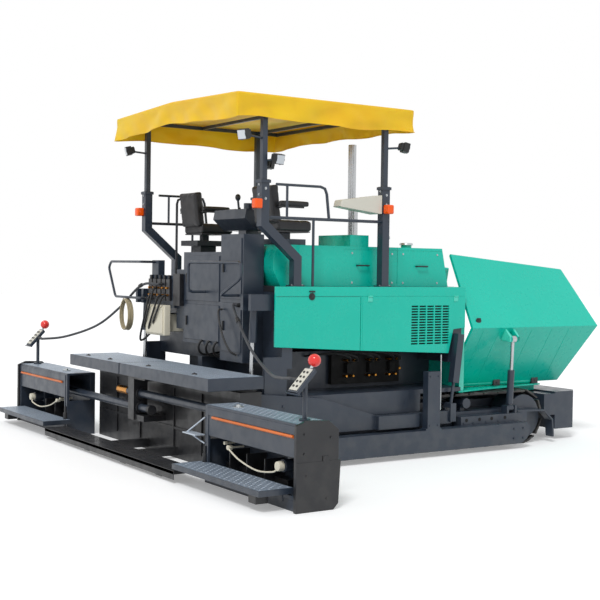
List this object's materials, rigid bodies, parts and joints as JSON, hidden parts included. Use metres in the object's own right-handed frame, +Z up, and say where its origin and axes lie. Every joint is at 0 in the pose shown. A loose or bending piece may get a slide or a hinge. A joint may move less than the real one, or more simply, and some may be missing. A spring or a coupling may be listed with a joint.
{
  "type": "asphalt paver",
  "caption": "Tracked asphalt paver with a folding front hopper, louvred engine hood, canopied driving stand and a wide extending rear screed.",
  "frame": {"origin": "on the ground, midway along the whole length and width", "axes": "+X forward towards the hopper, +Y the machine's left, +Z up"},
  "size_m": [5.8, 6.48, 3.72],
  "materials": {
    "slate_paint": "semi-gloss dark blue-grey paint on steel",
    "teal_paint": "glossy blue-green paint on sheet steel",
    "worn_steel": "bare steel worn by asphalt",
    "chrome": "polished chrome plate",
    "black_paint": "dull black paint with dust",
    "track_steel": "dark forged shoes",
    "seat_vinyl": "black grained vinyl over foam",
    "canopy_fabric": "coated yellow cloth",
    "pale_paint": "pale grey paint",
    "tread_plate": "raised-lozenge tread plate, greyed",
    "cable_sheath": "grey rubber sheath"
  },
  "bodies": {
    "root": {"main_frame": "slate_paint", "engine_block": "black_paint", "engine_hood": "teal_paint", "platform": "tread_plate", "seat_mount": "slate_paint", "control_console": "slate_paint", "rear_cabinet": "slate_paint", "electrical_box": "pale_paint", "exhaust_stack": "chrome", "air_duct": "pale_paint", "hopper": "teal_paint", "push_beam": "slate_paint", "cable_coil": "pale_paint", "track_left": "track_steel", "track_right": "track_steel", "track_frame_left": "slate_paint", "track_frame_right": "slate_paint", "side_beam_left": "slate_paint", "side_beam_right": "slate_paint", "levelling_cylinder_left": "slate_paint", "levelling_cylinder_right": "slate_paint", "side_panel_left": "teal_paint", "side_panel_right": "teal_paint", "post_frame_left": "slate_paint", "post_frame_right": "slate_paint", "seat_left": "seat_vinyl", "seat_right": "seat_vinyl", "control_cable_left": "cable_sheath", "control_cable_right": "cable_sheath"},
    "canopy": {"canopy_frame": "slate_paint", "canopy_cover": "canopy_fabric"},
    "screed": {"screed_body": "black_paint", "screed_cover": "tread_plate", "tow_arm_left": "slate_paint", "tow_arm_right": "slate_paint"},
    "side_door_left": {"side_door_left": "teal_paint"},
    "hopper_wing_left": {"hopper_wing_left": "teal_paint"},
    "wing_cylinder_left": {"wing_cylinder_left": "slate_paint"},
    "wing_rod_left": {"wing_rod_left": "chrome"},
    "lift_cylinder_left": {"lift_cylinder_left": "slate_paint"},
    "lift_rod_left": {"lift_rod_left": "chrome"},
    "extension_left": {"extension_left": "slate_paint", "end_gate_left": "black_paint", "control_stand_left": "pale_paint"},
    "auger_left": {"auger_left": "worn_steel"},
    "push_roller_left": {"push_roller_left": "worn_steel"},
    "side_door_right": {"side_door_right": "teal_paint"},
    "hopper_wing_right": {"hopper_wing_right": "teal_paint"},
    "wing_cylinder_right": {"wing_cylinder_right": "slate_paint"},
    "wing_rod_right": {"wing_rod_right": "chrome"},
    "lift_cylinder_right": {"lift_cylinder_right": "slate_paint"},
    "lift_rod_right": {"lift_rod_right": "chrome"},
    "extension_right": {"extension_right": "slate_paint", "end_gate_right": "black_paint", "control_stand_right": "pale_paint"},
    "auger_right": {"auger_right": "worn_steel"},
    "push_roller_right": {"push_roller_right": "worn_steel"}
  },
  "joints": [
    {"name": "canopy_slide", "type": "slide", "parent": "root", "child": "canopy", "axis": [0, 0, 1], "range_m": [-0.16, 0]},
    {"name": "screed_lift", "type": "hinge", "parent": "root", "child": "screed", "pos_m": [0.58, 0, 0.39], "axis": [0, 1, 0], "range_deg": [0, 5.5]},
    {"name": "side_door_left_hinge", "type": "hinge", "parent": "root", "child": "side_door_left", "pos_m": [0.1, 1.37, 1.7], "axis": [1, 0, 0], "range_deg": [0, 80]},
    {"name": "hopper_wing_left_fold", "type": "hinge", "parent": "root", "child": "hopper_wing_left", "pos_m": [0, 1, 0.68], "axis": [-1, 0, 0], "range_deg": [0, 35]},
    {"name": "wing_cylinder_left_swing", "type": "hinge", "parent": "root", "child": "wing_cylinder_left", "pos_m": [1.44, 1.43, 0.44], "axis": [-1, 0, 0], "range_deg": [0, 28.5]},
    {"name": "wing_rod_left_stroke", "type": "slide", "parent": "wing_cylinder_left", "child": "wing_rod_left", "axis": [0, -0.0448, -0.999], "range_m": [0, 0.288]},
    {"name": "lift_cylinder_left_swing", "type": "hinge", "parent": "root", "child": "lift_cylinder_left", "pos_m": [-1.8, 1.2, 1.66], "axis": [0, -1, 0], "range_deg": [0, 4.5]},
    {"name": "lift_rod_left_stroke", "type": "slide", "parent": "lift_cylinder_left", "child": "lift_rod_left", "axis": [0.0379, 0, 0.9993], "range_m": [0, 0.232]},
    {"name": "extension_left_slide", "type": "slide", "parent": "screed", "child": "extension_left", "axis": [0, -1, 0], "range_m": [0, 1.2], "deforming": ["control_cable_left"]},
    {"name": "auger_left_spin", "type": "hinge", "parent": "root", "child": "auger_left", "pos_m": [-1.68, 0, 0.36], "axis": [0, 1, 0], "continuous": true},
    {"name": "push_roller_left_spin", "type": "hinge", "parent": "root", "child": "push_roller_left", "pos_m": [2.81, 0, 0.4], "axis": [0, 1, 0], "continuous": true},
    {"name": "side_door_right_hinge", "type": "hinge", "parent": "root", "child": "side_door_right", "pos_m": [0.1, -1.37, 1.7], "axis": [-1, 0, 0], "range_deg": [0, 80]},
    {"name": "hopper_wing_right_fold", "type": "hinge", "parent": "root", "child": "hopper_wing_right", "pos_m": [0, -1, 0.68], "axis": [1, 0, 0], "range_deg": [0, 35]},
    {"name": "wing_cylinder_right_swing", "type": "hinge", "parent": "root", "child": "wing_cylinder_right", "pos_m": [1.44, -1.43, 0.44], "axis": [1, 0, 0], "range_deg": [0, 28.5]},
    {"name": "wing_rod_right_stroke", "type": "slide", "parent": "wing_cylinder_right", "child": "wing_rod_right", "axis": [0, 0.0448, -0.999], "range_m": [0, 0.288]},
    {"name": "lift_cylinder_right_swing", "type": "hinge", "parent": "root", "child": "lift_cylinder_right", "pos_m": [-1.8, -1.2, 1.66], "axis": [0, -1, 0], "range_deg": [0, 4.5]},
    {"name": "lift_rod_right_stroke", "type": "slide", "parent": "lift_cylinder_right", "child": "lift_rod_right", "axis": [0.0379, 0, 0.9993], "range_m": [0, 0.232]},
    {"name": "extension_right_slide", "type": "slide", "parent": "screed", "child": "extension_right", "axis": [0, 1, 0], "range_m": [0, 1.2], "deforming": ["control_cable_right"]},
    {"name": "auger_right_spin", "type": "hinge", "parent": "root", "child": "auger_right", "pos_m": [-1.68, 0, 0.36], "axis": [0, 1, 0], "continuous": true},
    {"name": "push_roller_right_spin", "type": "hinge", "parent": "root", "child": "push_roller_right", "pos_m": [2.81, 0, 0.4], "axis": [0, 1, 0], "continuous": true}
  ],
  "couplings": [
    {"joint": "wing_cylinder_left_swing", "follows": "hopper_wing_left_fold", "ratio": 0.8125},
    {"joint": "wing_rod_left_stroke", "follows": "hopper_wing_left_fold", "m_per_rad": 0.4691},
    {"joint": "lift_cylinder_left_swing", "follows": "screed_lift", "ratio": 0.8119},
    {"joint": "lift_rod_left_stroke", "follows": "screed_lift", "m_per_rad": 2.404},
    {"joint": "wing_cylinder_right_swing", "follows": "hopper_wing_right_fold", "ratio": 0.8125},
    {"joint": "wing_rod_right_stroke", "follows": "hopper_wing_right_fold", "m_per_rad": 0.4691},
    {"joint": "lift_cylinder_right_swing", "follows": "screed_lift", "ratio": 0.8119},
    {"joint": "lift_rod_right_stroke", "follows": "screed_lift", "m_per_rad": 2.404}
  ]
}
